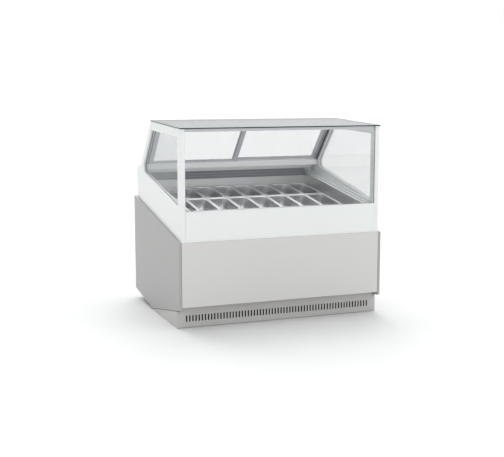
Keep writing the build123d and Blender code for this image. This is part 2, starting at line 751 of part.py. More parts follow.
def fan_motor(bore_length):
    """Fan motor about +Y with its nose at the origin and a running bore for the shaft."""
    body = Pos(0, 35, 0) * Rotation(90, 0, 0) * Cylinder(36, 60)
    nose = Pos(0, 3.5, 0) * Rotation(90, 0, 0) * Cylinder(14, 7)
    bore = Pos(0, bore_length / 2 - 0.5, 0) * Rotation(90, 0, 0) * Cylinder(4.05, bore_length + 1)
    return body + nose - bore


def condenser_fan():
    place = Pos(FAN_X, FAN_DEPTH - DEPTH / 2, FAN_Z)
    return place * fan_wheel(FAN_RADIUS, 32, 5, 26, 29)


def condenser_fan_motor():
    """Motor on its four-armed bracket, which is screwed inside the condenser's shroud."""
    place = Pos(FAN_X, FAN_DEPTH + 18 - DEPTH / 2, FAN_Z)
    motor = place * fan_motor(24)
    arms = None
    for angle in (45, 135):
        arm = place * Pos(0, 36, 0) * Rotation(0, angle, 0) * Box(360, 6, 14)
        arms = arm if arms is None else arms + arm
    inner = place * Pos(0, 36, 0) * Rotation(90, 0, 0) * Cylinder(34, 20)
    return motor + (arms - inner)


def refrigerant_pipes():
    """Copper discharge line from the compressor to the condenser and suction line to the coil."""
    def pipe(points, radius):
        corners = [Vector(x, depth - DEPTH / 2, z) for x, depth, z in points]
        path = FilletPolyline(*corners, radius=PIPE_BEND)
        profile = Plane(origin=path @ 0, z_dir=path % 0) * Circle(radius)
        return sweep(profile, path=path)

    discharge = [(-300, 666, 260), (-300, 560, 260), (-300, 560, 350), (40, 560, 350), (40, 300, 350)]
    suction = [
        (-390, 858, 240),
        (-390, SUCTION_DEPTH, 240),
        (-390, SUCTION_DEPTH, 330),
        (SUCTION_X, SUCTION_DEPTH, 330),
        (SUCTION_X, SUCTION_DEPTH, 540),
    ]
    return Compound(children=[pipe(discharge, 5), pipe(suction, SUCTION_RADIUS)])


def evaporator():
    """Finned coil lying on the floor of the well under the pans."""
    x0, x1 = -520.0, 520.0
    d0, d1 = 560.0, 780.0
    z0, z1 = 482.0, 600.0
    core = block(x0, x1, d0, d1, z0, z1)
    fins = 50
    pitch = (x1 - x0 - 30) / fins
    cutters = []
    for i in range(fins):
        x = x0 + 15 + i * pitch + 1.5
        cutters.append(block(x, x + pitch - 3, d0 - 1, d1 + 1, z0 + 8, z1 - 8))
    return core - cutters


def evaporator_fan():
    place = Pos(EVAP_FAN_X, EVAP_FAN_DEPTH - DEPTH / 2, EVAP_FAN_Z)
    return place * fan_wheel(EVAP_FAN_RADIUS, 24, 5, 22, 27)


def evaporator_fan_plate():
    """Partition behind the coil with a round hole for the fan, and the fan motor on its bracket."""
    x = EVAP_FAN_X
    front = EVAP_FAN_DEPTH - 4
    plate = block(-560, 560, front, front + 2, WELL_LOW + 3, 680)
    hole = Pos(x, front - DEPTH / 2, EVAP_FAN_Z) * Rotation(90, 0, 0) * Cylinder(EVAP_FAN_RADIUS + 4, 10)
    motor = Pos(x, EVAP_FAN_DEPTH + 16 - DEPTH / 2, EVAP_FAN_Z) * fan_motor(22)
    arm_depth = EVAP_FAN_DEPTH + 46
    bracket = block(x - 106, x - 100, front + 1, arm_depth + 6, EVAP_FAN_Z - 20, EVAP_FAN_Z + 20)
    bracket = bracket + block(x - 106, x - 30, arm_depth, arm_depth + 6, EVAP_FAN_Z - 20, EVAP_FAN_Z + 20)
    return plate - hole + motor + bracket


# ---- Controls and service parts ------------------------------------------------------------------
def control_panel():
    """Moulded bezel with a display window, touch keys under it and two rocker switches."""
    back = SHELL_BACK
    plate = block(CONTROL_X - 112, CONTROL_X + 112, back - 4, back + 4, CONTROL_Z - 36, CONTROL_Z + 36)
    plate = fillet(plate.edges().filter_by(Axis.Y), 6)
    housing = block(CONTROL_X - 104, CONTROL_X + 104, back - 44, back - 3, CONTROL_Z - 30, CONTROL_Z + 30)
    inside = block(CONTROL_X - 101, CONTROL_X + 101, back - 41, back - 4, CONTROL_Z - 27, CONTROL_Z + 27)
    body = plate + housing - inside
    window = block(CONTROL_X - 96, CONTROL_X - 16, back + 2.5, back + 5, CONTROL_Z - 20, CONTROL_Z + 20)
    body = body - window
    for x in KEY_X:
        key = rod((x, back + 3, CONTROL_Z), (x, back + 4.6, CONTROL_Z), KEY_RADIUS)
        body = body + chamfer(key.faces().sort_by(Axis.Y)[-1].edges(), 0.5)
    for x in SWITCH_X:
        half = SWITCH_WIDTH / 2 + 0.5
        tall = SWITCH_HEIGHT / 2 + 1
        body = body - block(x - half, x + half, back - 10, back + 10, CONTROL_Z - tall, CONTROL_Z + tall)
    return body


def rocker_switch(x):
    """Rocker with its two faces meeting over the pivot, tipped with its lower half pressed in."""
    half = SWITCH_WIDTH / 2
    tall = SWITCH_HEIGHT / 2
    outline = [
        (SHELL_BACK - 8, CONTROL_Z - tall + 3),
        (SHELL_BACK + 3.4, CONTROL_Z - tall + 0.5),
        (SHELL_BACK + 5.2, CONTROL_Z),
        (SHELL_BACK + 8.6, CONTROL_Z + tall - 1.5),
        (SHELL_BACK - 8, CONTROL_Z + tall - 3),
    ]
    return slab(outline, x - half, x + half)


def condensate_drawer():
    """Shallow tray behind a small drawer front; it collects the water from the well's drain."""
    edge = DRAWER_HALF - 6
    low = DRAWER_LOW + 6
    wall = 2.5
    tray = block(-edge, edge, DEPTH - 330, DEPTH - 14, low, DRAWER_HIGH - 8)
    edge = edge - wall
    inside = block(-edge, edge, DEPTH - 330 + wall, DEPTH - 14 - wall, low + wall, DRAWER_HIGH)
    front = block(-DRAWER_HALF, DRAWER_HALF, DEPTH - 16, DEPTH - 4, DRAWER_LOW, DRAWER_HIGH)
    scoop = Pos(0, DEPTH / 2 - 4, DRAWER_HIGH) * Rotation(90, 0, 0) * Cylinder(26, 14)
    return tray - inside + front - scoop


def cable_gland():
    x = GLAND_X
    z = GLAND_Z
    thread = rod((x, DEPTH - 26, z), (x, DEPTH - 1, z), GLAND_THREAD)
    nut = Plane(origin=(x, DEPTH / 2 - 26, z), z_dir=(0, 1, 0)) * RegularPolygon(14, 6)
    body = thread + extrude(nut, amount=6)
    dome = rod((x, DEPTH - 2, z), (x, DEPTH - 0.2, z), 13)
    bore = rod((x, DEPTH - 40, z), (x, DEPTH + 5, z), GLAND_BORE)
    return body + dome - bore


def panel_screws():
    """Pan-head screws of the rear panel, the service grille and the plinth."""
    solids = []
    for x in (-527, 0, 527):
        for z in (182, 528):
            solids.append(rod((x, DEPTH - 0.5, z), (x, DEPTH, z), 4.5))
    for x in (-745, 745):
        for z in (110, 440, 770):
            solids.append(rod((x, DEPTH - 2, z), (x, DEPTH, z), 4.5))
    for x in (-760, 760):
        for z in (24, 108):
            solids.append(rod((x, PLINTH_SETBACK - 2, z), (x, PLINTH_SETBACK, z), 4.0))
    return Compound(children=solids)


# ---- Assembly ------------------------------------------------------------------------------------
def build():
    right_panel = side_panel()
    PARTS["side_panel_right"] = right_panel
    PARTS["side_panel_left"] = mirrored(right_panel)
    PARTS["front_panel"] = front_panel()
    PARTS["plinth_front"] = plinth_front()
    PARTS["plinth_returns"] = plinth_returns()
    PARTS["rear_panel"] = rear_panel()
    PARTS["service_grille"] = service_grille()
    PARTS["rear_upper_panel"] = rear_upper_panel()
    right_frame = side_frame()
    PARTS["side_frame_right"] = right_frame
    PARTS["side_frame_left"] = mirrored(right_frame)
    right_glass = side_glass()
    PARTS["side_glasses"] = Compound(children=[right_glass, mirrored(right_glass)])
    PARTS["front_apron"] = front_apron()
    PARTS["front_glass"] = front_glass()
    PARTS["top_glass"] = top_glass()
    PARTS["lamp_profile"] = lamp_profile()
    PARTS["lamp_diffuser"] = lamp_diffuser()
    PARTS["top_rear_beam"] = top_rear_beam()
    PARTS["rear_sill"] = rear_sill()
    for name, side, out in (("left", -1, TRACK_INNER), ("right", 1, TRACK_OUTER)):
        PARTS[f"door_{name}_frame"] = door_frame(side, out)
        PARTS[f"door_{name}_glass"] = door_glass(side, out)
    PARTS["well_liner"] = well_liner()
    PARTS["insulation"] = insulation()
    right_trim = rim_trim()
    PARTS["rim_trims"] = Compound(children=[right_trim, mirrored(right_trim)])
    PARTS["return_grille"] = return_grille()
    PARTS["front_deck"] = front_deck()
    PARTS["deck_frame"] = deck_frame()
    pan = pan_shape()
    for row, y in (("front", -PAN_ROW / 2), ("rear", PAN_ROW / 2)):
        for column in range(PAN_COLUMNS):
            x = (column - (PAN_COLUMNS - 1) / 2) * PAN_PITCH
            PARTS[f"pan_{row}_{column + 1}"] = DECK * Pos(x, y, 0) * pan
    PARTS["base_frame"] = base_frame()
    PARTS["feet"] = feet()
    PARTS["compressor"] = compressor()
    PARTS["condenser"] = condenser()
    PARTS["condenser_fan"] = condenser_fan()
    PARTS["condenser_fan_motor"] = condenser_fan_motor()
    PARTS["refrigerant_pipes"] = refrigerant_pipes()
    PARTS["evaporator"] = evaporator()
    PARTS["evaporator_fan"] = evaporator_fan()
    PARTS["evaporator_fan_plate"] = evaporator_fan_plate()
    PARTS["control_panel"] = control_panel()
    PARTS["power_switch"] = rocker_switch(SWITCH_X[0])
    PARTS["lamp_switch"] = rocker_switch(SWITCH_X[1])
    PARTS["condensate_drawer"] = condensate_drawer()
    PARTS["cable_gland"] = cable_gland()
    PARTS["panel_screws"] = panel_screws()


build()
os.makedirs("parts", exist_ok=True)
for name, shape in PARTS.items():
    export_step(shape, f"parts/{name}.step")
print(len(PARTS), "parts")
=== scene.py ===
import json
from math import cos, pi, radians, sin

import bmesh
import bpy
from mathutils import Matrix, Vector


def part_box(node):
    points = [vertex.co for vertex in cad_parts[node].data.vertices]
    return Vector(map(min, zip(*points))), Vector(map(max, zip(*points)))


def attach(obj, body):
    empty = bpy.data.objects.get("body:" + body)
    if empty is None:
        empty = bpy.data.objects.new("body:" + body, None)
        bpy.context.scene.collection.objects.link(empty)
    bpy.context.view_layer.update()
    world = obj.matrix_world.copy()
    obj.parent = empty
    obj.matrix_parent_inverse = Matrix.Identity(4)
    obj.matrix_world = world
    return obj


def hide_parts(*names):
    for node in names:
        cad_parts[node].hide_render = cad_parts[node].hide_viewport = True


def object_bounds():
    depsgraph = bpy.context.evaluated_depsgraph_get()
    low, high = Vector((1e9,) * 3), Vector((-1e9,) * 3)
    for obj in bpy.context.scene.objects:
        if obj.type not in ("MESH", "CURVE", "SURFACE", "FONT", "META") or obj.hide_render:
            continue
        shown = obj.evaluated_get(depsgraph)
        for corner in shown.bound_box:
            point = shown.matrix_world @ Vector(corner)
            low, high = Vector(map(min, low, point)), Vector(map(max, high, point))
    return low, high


# Looks of a glazed ice cream dipping cabinet. Lengths are metres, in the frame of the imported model:
# +X is to the customer's right, +Y runs towards the server, +Z is up, and the floor is at z = 0.

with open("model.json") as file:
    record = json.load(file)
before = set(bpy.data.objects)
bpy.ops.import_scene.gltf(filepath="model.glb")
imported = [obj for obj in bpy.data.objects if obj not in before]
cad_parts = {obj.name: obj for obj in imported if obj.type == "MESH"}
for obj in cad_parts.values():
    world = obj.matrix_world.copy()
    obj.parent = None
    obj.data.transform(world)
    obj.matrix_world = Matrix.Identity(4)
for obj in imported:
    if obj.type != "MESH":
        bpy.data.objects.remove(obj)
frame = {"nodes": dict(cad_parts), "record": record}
CAD_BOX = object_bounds()
NODES = frame["nodes"]
MM = 0.001
CABINET = "cabinet"
# The cabinet's depth in mm, and the slopes of the pans' deck and of the inclined back in degrees.
DEPTH = round((CAD_BOX[1][1] - CAD_BOX[0][1]) / MM)
DECK_TILT = 8
REAR_TILT = 48.43


# ==== Camera, light and floor ==================================================================
CAMERA_PLACE = (-2.6759, -6.9234, 1.6785)
CAMERA_TURN = 21.068
CAMERA_TILT = 8.291
CAMERA_LENS = 69.46
LIT = 0.98
LIT_SLOPE = 0.3
SUN_POWER = 1.6
SUN_SPREAD = 50
SUN_TILT = (-40, 3, 0)


def make_camera():
    """Eye level a little over the top glass, to the left of the cabinet's front."""
    data = bpy.data.cameras.new("camera")
    data.sensor_width = 36
    data.lens = CAMERA_LENS
    camera = bpy.data.objects.new("camera", data)
    camera.location = CAMERA_PLACE
    camera.rotation_euler = (radians(90 - CAMERA_TILT), 0, radians(-CAMERA_TURN))
    bpy.context.scene.collection.objects.link(camera)
    bpy.context.scene.camera = camera


def make_world():
    """White studio before a white backdrop: light from all round, a little weaker from the left."""
    world = bpy.data.worlds.new("studio")
    bpy.context.scene.world = world
    world.use_nodes = True
    tree = world.node_tree
    tree.nodes.clear()
    seen = add(tree, "Background", Color=(1, 1, 1, 1), Strength=1.0)
    lit = add(tree, "Background", Color=(0.985, 0.995, 1, 1))
    coords = tree.nodes.new("ShaderNodeTexCoord")
    split = tree.nodes.new("ShaderNodeSeparateXYZ")
    tree.links.new(coords.outputs["Generated"], split.inputs[0])
    strength = maths(tree, "MULTIPLY_ADD", split.outputs["X"], LIT_SLOPE, LIT)
    tree.links.new(strength, lit.inputs["Strength"])
    path = tree.nodes.new("ShaderNodeLightPath")
    mix = tree.nodes.new("ShaderNodeMixShader")
    out = tree.nodes.new("ShaderNodeOutputWorld")
    tree.links.new(path.outputs["Is Camera Ray"], mix.inputs["Fac"])
    tree.links.new(lit.outputs["Background"], mix.inputs[1])
    tree.links.new(seen.outputs["Background"], mix.inputs[2])
    tree.links.new(mix.outputs["Shader"], out.inputs["Surface"])


def make_soft_sun():
    """Wide overhead light from behind the cabinet, which lays a soft shadow before it."""
    data = bpy.data.lights.new("overhead", "SUN")
    data.energy = SUN_POWER
    data.angle = radians(SUN_SPREAD)
    light = bpy.data.objects.new("overhead", data)
    light.rotation_euler = [radians(angle) for angle in SUN_TILT]
    bpy.context.scene.collection.objects.link(light)


def make_floor():
    mesh = bpy.data.meshes.new("floor")
    bm = bmesh.new()
    bmesh.ops.create_grid(bm, x_segments=1, y_segments=1, size=60)
    bm.to_mesh(mesh)
    bm.free()
    floor = bpy.data.objects.new("floor", mesh)
    bpy.context.scene.collection.objects.link(floor)
    mesh.materials.append(floor_paint())


def make_studio():
    make_camera()
    make_world()
    make_soft_sun()
    bpy.context.scene.view_settings.view_transform = "Standard"
    make_floor()


# ==== Shader helpers ==============================================================================
def shader_group(name, inputs, outputs):
    """Empty node group with named float, vector or colour sockets."""
    group = bpy.data.node_groups.new(name, "ShaderNodeTree")
    for label, kind, value in inputs:
        socket = group.interface.new_socket(label, in_out="INPUT", socket_type="NodeSocket" + kind)
        if value is not None:
            socket.default_value = value
    for label, kind in outputs:
        group.interface.new_socket(label, in_out="OUTPUT", socket_type="NodeSocket" + kind)
    enter = group.nodes.new("NodeGroupInput")
    leave = group.nodes.new("NodeGroupOutput")
    return group, enter, leave


def add(tree, kind, **values):
    """New shader node; values go to its sockets by name, with spaces written as underscores."""
    node = tree.nodes.new("ShaderNode" + kind)
    for label, value in values.items():
        node.inputs[label.replace("_", " ")].default_value = value
    return node


def maths(tree, operation, a, b=None, c=None, clamp=False):
    node = tree.nodes.new("ShaderNodeMath")
    node.operation = operation
    node.use_clamp = clamp
    for index, value in enumerate((a, b, c)):
        if value is None:
            continue
        if isinstance(value, (int, float)):
            node.inputs[index].default_value = value
        else:
            tree.links.new(value, node.inputs[index])
    return node.outputs[0]


def mix_colour(tree, factor, a, b, blend="MIX"):
    node = tree.nodes.new("ShaderNodeMix")
    node.data_type = "RGBA"
    node.blend_type = blend
    for socket, value in ((node.inputs[0], factor), (node.inputs[6], a), (node.inputs[7], b)):
        if isinstance(value, (int, float)):
            socket.default_value = value
        elif isinstance(value, tuple):
            socket.default_value = value + (1,) if len(value) == 3 else value
        else:
            tree.links.new(value, socket)
    return node.outputs[2]


def edge_group():
    """Rounds the shading of hard edges and gives their mask, along which the materials paint a highlight.
    """
    group, enter, leave = shader_group(
        "rounded_edge_highlight", [("Radius", "Float", 0.0015)], [("Mask", "Float"), ("Normal", "Vector")]
    )
    bevel = group.nodes.new("ShaderNodeBevel")
    bevel.samples = 4
    geometry = group.nodes.new("ShaderNodeNewGeometry")
    dot = group.nodes.new("ShaderNodeVectorMath")
    dot.operation = "DOT_PRODUCT"
    group.links.new(enter.outputs["Radius"], bevel.inputs["Radius"])
    group.links.new(bevel.outputs["Normal"], dot.inputs[0])
    group.links.new(geometry.outputs["Normal"], dot.inputs[1])
    turned = maths(group, "SUBTRACT", 1.0, dot.outputs["Value"])
    mask = maths(group, "MULTIPLY", turned, 3.0, clamp=True)
    group.links.new(mask, leave.inputs["Mask"])
    group.links.new(bevel.outputs["Normal"], leave.inputs["Normal"])
    return group


def grain_group():
    """Brushed grain: noise drawn out by the scale of each axis, for steel and aluminium."""
    group, enter, leave = shader_group(
        "brushed_grain",
        [("Stretch", "Vector", (1, 1, 1)), ("Scale", "Float", 400.0)],
        [("Height", "Float"), ("Blotch", "Float")],
    )
    coords = group.nodes.new("ShaderNodeTexCoord")
    stretch = group.nodes.new("ShaderNodeVectorMath")
    stretch.operation = "MULTIPLY"
    group.links.new(coords.outputs["Object"], stretch.inputs[0])
    group.links.new(enter.outputs["Stretch"], stretch.inputs[1])
    lines = add(group, "TexNoise", Detail=3.0, Roughness=0.6)
    group.links.new(stretch.outputs["Vector"], lines.inputs["Vector"])
    group.links.new(enter.outputs["Scale"], lines.inputs["Scale"])
    cloud = add(group, "TexNoise", Scale=7.0, Detail=4.0, Roughness=0.55)
    group.links.new(coords.outputs["Object"], cloud.inputs["Vector"])
    group.links.new(lines.outputs["Fac"], leave.inputs["Height"])
    group.links.new(cloud.outputs["Fac"], leave.inputs["Blotch"])
    return group


def surface_group():
    """Fine unevenness of paint and moulded plastic, with a slow change of tone."""
    group, enter, leave = shader_group(
        "fine_surface", [("Scale", "Float", 900.0)], [("Height", "Float"), ("Tone", "Float")]
    )
    coords = group.nodes.new("ShaderNodeTexCoord")
    fine = add(group, "TexNoise", Detail=2.0, Roughness=0.5)
    slow = add(group, "TexNoise", Scale=3.0, Detail=5.0, Roughness=0.6)
    group.links.new(coords.outputs["Object"], fine.inputs["Vector"])
    group.links.new(coords.outputs["Object"], slow.inputs["Vector"])
    group.links.new(enter.outputs["Scale"], fine.inputs["Scale"])
    group.links.new(fine.outputs["Fac"], leave.inputs["Height"])
    group.links.new(slow.outputs["Fac"], leave.inputs["Tone"])
    return group


def dust_group():
    """Thin dust that settles on surfaces facing up."""
    group, enter, leave = shader_group("settled_dust", [("Amount", "Float", 0.1)], [("Mask", "Float")])
    geometry = group.nodes.new("ShaderNodeNewGeometry")
    split = group.nodes.new("ShaderNodeSeparateXYZ")
    coords = group.nodes.new("ShaderNodeTexCoord")
    specks = add(group, "TexNoise", Scale=38.0, Detail=6.0, Roughness=0.7)
    group.links.new(geometry.outputs["Normal"], split.inputs[0])
    group.links.new(coords.outputs["Object"], specks.inputs["Vector"])
    facing = maths(group, "MAXIMUM", split.outputs["Z"], 0.0)
    cloud = maths(group, "MULTIPLY", facing, specks.outputs["Fac"])
    mask = maths(group, "MULTIPLY", cloud, enter.outputs["Amount"], clamp=True)
    group.links.new(mask, leave.inputs["Mask"])
    return group


DUST_COLOUR = (0.72, 0.71, 0.69)
# Pale grey of the painted highlight on metal edges.
EDGE_HIGHLIGHT_COLOUR = (0.86, 0.86, 0.86)
FACE_LIMIT = 0.9
ROUNDED_EDGE_HIGHLIGHT = edge_group()
BRUSHED_GRAIN = grain_group()
FINE_SURFACE = surface_group()
SETTLED_DUST = dust_group()


def placed(tree, group, **values):
    """A shared group placed in a material with that material's own values."""
    node = tree.nodes.new("ShaderNodeGroup")
    node.node_tree = group
    for label, value in values.items():
        node.inputs[label].default_value = value
    return node


def scaled(colour, factor, lift=0.0):
    return tuple(min(value * factor + lift, 1) for value in colour)


def new_material(name):
    """Material with only a Principled shader, its tree and the shader."""
    material = bpy.data.materials.new(name)
    material.use_nodes = True
    tree = material.node_tree
    return material, tree, tree.nodes["Principled BSDF"]


def bumped(tree, height, strength, distance, normal=None):
    bump = tree.nodes.new("ShaderNodeBump")
    bump.inputs["Strength"].default_value = strength
    bump.inputs["Distance"].default_value = distance
    tree.links.new(height, bump.inputs["Height"])
    if normal is not None:
        tree.links.new(normal, bump.inputs["Normal"])
    return bump.outputs["Normal"]


def coated(
    name, colour, rough, edge=0.0015, texture=900.0, bump=0.15, spread=0.05, coat=0.0, dust=0.06,
    metal=0.0, specular=0.5
):
    """Paint, laminate or moulded plastic: slow change of tone, fine surface, a painted highlight on edges
    and dust.
    """
    material, tree, shader = new_material(name)
    edges = placed(tree, ROUNDED_EDGE_HIGHLIGHT, Radius=edge)
    surface = placed(tree, FINE_SURFACE, Scale=texture)
    dusty = placed(tree, SETTLED_DUST, Amount=dust)
    darker = scaled(colour, 1 - spread)
    lighter = scaled(colour, 1 + spread)
    base = mix_colour(tree, surface.outputs["Tone"], darker, lighter)
    # Painted highlight: the colour is lightened along edges.
    edge_highlight = maths(tree, "MULTIPLY", edges.outputs["Mask"], 0.35)
    base = mix_colour(tree, edge_highlight, base, scaled(colour, 1.25, 0.03))
    base = mix_colour(tree, dusty.outputs["Mask"], base, DUST_COLOUR)
    tree.links.new(base, shader.inputs["Base Color"])
    uneven = maths(tree, "MULTIPLY_ADD", surface.outputs["Tone"], 0.06, rough - 0.03)
    rough_dusty = maths(tree, "ADD", uneven, dusty.outputs["Mask"], clamp=True)
    tree.links.new(rough_dusty, shader.inputs["Roughness"])
    normal = bumped(tree, surface.outputs["Height"], bump, 0.0002, edges.outputs["Normal"])
    tree.links.new(normal, shader.inputs["Normal"])
    shader.inputs["Metallic"].default_value = metal
    shader.inputs["Specular IOR Level"].default_value = specular
    shader.inputs["Coat Weight"].default_value = coat
    shader.inputs["Coat Roughness"].default_value = 0.12
    return material


def brushed(name, colour, rough, stretch, scale=420.0, bump=0.12, edge=0.0008, aniso=0.35, dust=0.03):
    """Bare metal with a brushed grain drawn out along one axis and a painted highlight on its edges."""
    material, tree, shader = new_material(name)
    edges = placed(tree, ROUNDED_EDGE_HIGHLIGHT, Radius=edge)
    grain = placed(tree, BRUSHED_GRAIN, Scale=scale, Stretch=stretch)
    dusty = placed(tree, SETTLED_DUST, Amount=dust)
    tone = mix_colour(tree, grain.outputs["Blotch"], scaled(colour, 0.92), scaled(colour, 1.05))
    streak = mix_colour(tree, 0.25, tone, grain.outputs["Height"], "SOFT_LIGHT")
    # Painted highlight: edges are mixed towards a pale grey.
    edge_highlight = maths(tree, "MULTIPLY", edges.outputs["Mask"], 0.4)
    base = mix_colour(tree, edge_highlight, streak, EDGE_HIGHLIGHT_COLOUR)
    tree.links.new(base, shader.inputs["Base Color"])
    uneven = maths(tree, "MULTIPLY_ADD", grain.outputs["Height"], 0.16, rough - 0.08)
    rough_dusty = maths(tree, "ADD", uneven, dusty.outputs["Mask"], clamp=True)
    tree.links.new(rough_dusty, shader.inputs["Roughness"])
    normal = bumped(tree, grain.outputs["Height"], bump, 0.0001, edges.outputs["Normal"])
    tree.links.new(normal, shader.inputs["Normal"])
    shader.inputs["Metallic"].default_value = 1.0
    shader.inputs["Anisotropic"].default_value = aniso
    return material


def pane_glass(name, facing, face_colour, clear, mirror, edge_colour):
    """Clear sheet: it mirrors more at grazing angles, and its ground edges show the glass's own green.

    facing is the direction across the sheet; faces that point another way are its edges.
    """
    material, tree, shader = new_material(name)
    coords = tree.nodes.new("ShaderNodeTexCoord")
    smears = add(tree, "TexNoise", Scale=9.0, Detail=5.0, Roughness=0.6)
    tree.links.new(coords.outputs["Object"], smears.inputs["Vector"])
    geometry = tree.nodes.new("ShaderNodeNewGeometry")
    across = tree.nodes.new("ShaderNodeVectorMath")
    across.operation = "DOT_PRODUCT"
    across.inputs[1].default_value = facing
    tree.links.new(geometry.outputs["True Normal"], across.inputs[0])
    aligned = maths(tree, "ABSOLUTE", across.outputs["Value"])
    edge = maths(tree, "LESS_THAN", aligned, FACE_LIMIT)
    face = mix_colour(tree, smears.outputs["Fac"], face_colour, scaled(face_colour, 0.97))
    rim = mix_colour(tree, smears.outputs["Fac"], scaled(edge_colour, 0.7), scaled(edge_colour, 1.3))
    tree.links.new(mix_colour(tree, edge, face, rim), shader.inputs["Base Color"])
    tree.links.new(maths(tree, "SUBTRACT", 1.0, edge), shader.inputs["Metallic"])
    tree.links.new(maths(tree, "MULTIPLY_ADD", edge, 0.12, 0.02), shader.inputs["Roughness"])
    weight = tree.nodes.new("ShaderNodeLayerWeight")
    grazing = maths(tree, "POWER", weight.outputs["Facing"], 5.0)
    rise = maths(tree, "MULTIPLY_ADD", grazing, mirror, clear)
    haze = maths(tree, "MULTIPLY_ADD", smears.outputs["Fac"], 0.02, rise)
    tree.links.new(maths(tree, "MAXIMUM", haze, edge, clamp=True), shader.inputs["Alpha"])
    return material


def opal(name, colour, glow):
    """Lamp cover that glows a little."""
    material, tree, shader = new_material(name)
    surface = placed(tree, FINE_SURFACE, Scale=700.0)
    tone = mix_colour(tree, surface.outputs["Tone"], scaled(colour, 0.96), colour)
    tree.links.new(tone, shader.inputs["Base Color"])
    tree.links.new(tone, shader.inputs["Emission Color"])
    shader.inputs["Emission Strength"].default_value = glow
    shader.inputs["Roughness"].default_value = 0.4
    return material


def floor_paint():
    material, tree, shader = new_material("studio_floor")
    surface = placed(tree, FINE_SURFACE, Scale=60.0)
    tone = mix_colour(tree, surface.outputs["Tone"], (0.79, 0.79, 0.79), (0.81, 0.81, 0.81))
    tree.links.new(tone, shader.inputs["Base Color"])
    shader.inputs["Roughness"].default_value = 0.8
    shader.inputs["Specular IOR Level"].default_value = 0.1
    return material


ALONG_X = (0.03, 1.0, 1.0)
ALONG_Y = (1.0, 0.03, 1.0)
ALONG_Z = (1.0, 1.0, 0.03)
WHITE = (0.81, 0.83, 0.82)
GREEN = (0.012, 0.032, 0.028)
REAR_FACING = (0, sin(radians(REAR_TILT)), cos(radians(REAR_TILT)))
LAMINATE = {"edge": 0.001, "texture": 700.0, "spread": 0.01}
MOULDED = {"edge": 0.0016, "bump": 0.05, "spread": 0.005}

FINISHES = {
    # Side boards: the front panel's grey board given a darker colour, painted shade on the cabinet's sides.
    "grey_board": coated("side_laminate_shaded_copy", (0.395, 0.39, 0.385), 0.42, **LAMINATE),
    "plinth_grey": coated(
        "plinth_powder_coat", (0.53, 0.52, 0.505), 0.5, texture=1100.0, bump=0.2, spread=0.02
    ),
    "white_enamel": coated(
        "white_enamel", WHITE, 0.3, edge=0.0012, bump=0.05, spread=0.005, coat=0.2
    ),
    "white_moulding": coated("white_moulding", WHITE, 0.34, coat=0.15, **MOULDED),
    "stainless": brushed("brushed_stainless", (0.66, 0.655, 0.65), 0.36, ALONG_X),
    "door_aluminium": coated("satin_anodised", (0.72, 0.72, 0.755), 0.4, texture=1200.0, metal=0.3),
    "diffuser": opal("opal_diffuser", (0.92, 0.92, 0.9), 0.8),
    "louvre_plastic": coated("louvre_plastic", (0.23, 0.23, 0.265), 0.35, edge=0.0012),
    "foam": coated("cut_foam", (0.75, 0.68, 0.45), 0.9, texture=260.0, bump=0.8, spread=0.12),
    "frame_steel": coated("zinc_steel", (0.42, 0.43, 0.44), 0.4, spread=0.12, metal=0.8),
    "black_enamel": coated("black_enamel", (0.015, 0.015, 0.016), 0.3, coat=0.3),
    "fin_aluminium": brushed("fin_aluminium", (0.62, 0.63, 0.64), 0.4, ALONG_Z),
    "black_plastic": coated("black_plastic", (0.02, 0.02, 0.022), 0.45, texture=1500.0, bump=0.35),
    "copper": brushed("copper_tube", (0.72, 0.36, 0.22), 0.3, ALONG_Z, scale=60.0, aniso=0.0),
    "grey_plastic": coated("grey_plastic", (0.22, 0.22, 0.23), 0.5, bump=0.3),
    "screw_steel": brushed("screw_steel", (0.6, 0.6, 0.6), 0.28, ALONG_X, scale=200.0),
    "clear_glass": pane_glass("top_pane", (0, 0, 1), (0.03, 0.10, 0.09), 0.06, 0.9, GREEN),
    "door_glass": pane_glass("door_pane", REAR_FACING, (0.30, 0.33, 0.34), 0.07, 0.9, GREEN),
}
NODE_FINISHES = {
    # Rear sill: the white moulding given a much lighter colour, painted light.
    "rear_sill": coated("sill_moulding_lit_copy", (0.985, 0.99, 0.985), 0.4, **MOULDED),
    "front_panel": coated("front_laminate", (0.65, 0.64, 0.625), 0.42, **LAMINATE),
    "front_glass": pane_glass("front_pane", (0, 1, 0), (0.30, 0.33, 0.34), 0.06, 0.9, GREEN),
    "side_glasses": pane_glass("side_pane", (1, 0, 0), (0.30, 0.33, 0.34), 0.07, 0.9, GREEN),
}
# One stainless steel in two tones: the pans' inside gets a lighter colour (painted light) and the rolled
# rim a darker one (painted shade).
PAN_STEEL_LIT_TONE = brushed(
    "pan_steel_lit_tone", (0.88, 0.88, 0.885), 0.2, (1.0, 1.0, 0.06), scale=300.0, bump=0.03, edge=0.0, aniso=0.0
)
RIM_STEEL_SHADED_TONE = brushed(
    "pan_rim_steel_shaded_tone", (0.66, 0.66, 0.68), 0.42, (1.0, 1.0, 1.0), scale=300.0, bump=0.04, aniso=0.0
)
RIB_PLASTIC = coated("louvre_ribs", (0.72, 0.72, 0.78), 0.35, edge=0.001)
TRIM = coated("trim_moulding", (0.80, 0.81, 0.81), 0.5, edge=0.001, spread=0.01)
# Dark seal colour: real brush seals at the doors; on the stepped trims its strips and ridges are painted
# shade lines.
DARK_SEAL_AND_SHADE = coated("dark_seal_and_painted_shade", (0.05, 0.055, 0.06), 0.55, texture=600.0, bump=0.25)
# Near-black, nearly glossless filter colour: painted shade inside the plinth's slots.
FILTER = coated(
    "filter_mesh_painted_shade", (0.003, 0.003, 0.003), 0.9, texture=350.0, bump=0.9, dust=0.0, specular=0.05
)
DISPLAY = coated("display_window", (0.012, 0.012, 0.016), 0.08, bump=0.02, coat=0.6, dust=0.01)
LED_GREEN = opal("led_green", (0.1, 0.9, 0.25), 2.5)


